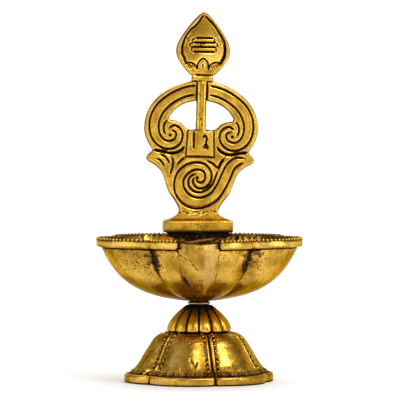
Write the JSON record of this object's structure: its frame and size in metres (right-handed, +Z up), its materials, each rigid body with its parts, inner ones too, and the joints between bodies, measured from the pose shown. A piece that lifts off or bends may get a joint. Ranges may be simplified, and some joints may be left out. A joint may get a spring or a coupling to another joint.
{
  "type": "brass oil lamp",
  "caption": "Cast brass oil lamp: petalled foot, fluted dome, lobed bowl with a pouring spout and beaded rim, and a scrolled plaque with a spear on a post.",
  "frame": {"origin": "middle of the outer box, on the surface that the foot stands on; the lamp's own axis is 2.6 mm behind it and 0.2 mm to its left, because the spout reaches forward and the foot's petals aren't in line with the bowl's lobes", "axes": "+Z up along the lamp, -Y is the front with the spout and the face of the plaque, +X to the right of someone who faces the lamp"},
  "size_m": [0.1026, 0.1022, 0.1847],
  "materials": {
    "polished_brass": "hand polished casting, dark in the recesses",
    "aged_brass": "cast brass with dark patina left in the flutes",
    "steel": "plain steel",
    "seal_rubber": "matt"
  },
  "bodies": {
    "root": {"foot": "polished_brass", "foot_washer": "steel", "foot_nut": "steel", "tie_rod": "steel", "fluted_dome": "aged_brass", "neck_collar": "polished_brass", "bowl": "polished_brass", "bowl_seal": "seal_rubber", "post": "aged_brass", "plaque": "polished_brass", "spear": "polished_brass", "crown_rivet": "aged_brass", "block_rivet": "aged_brass"}
  },
  "joints": []
}
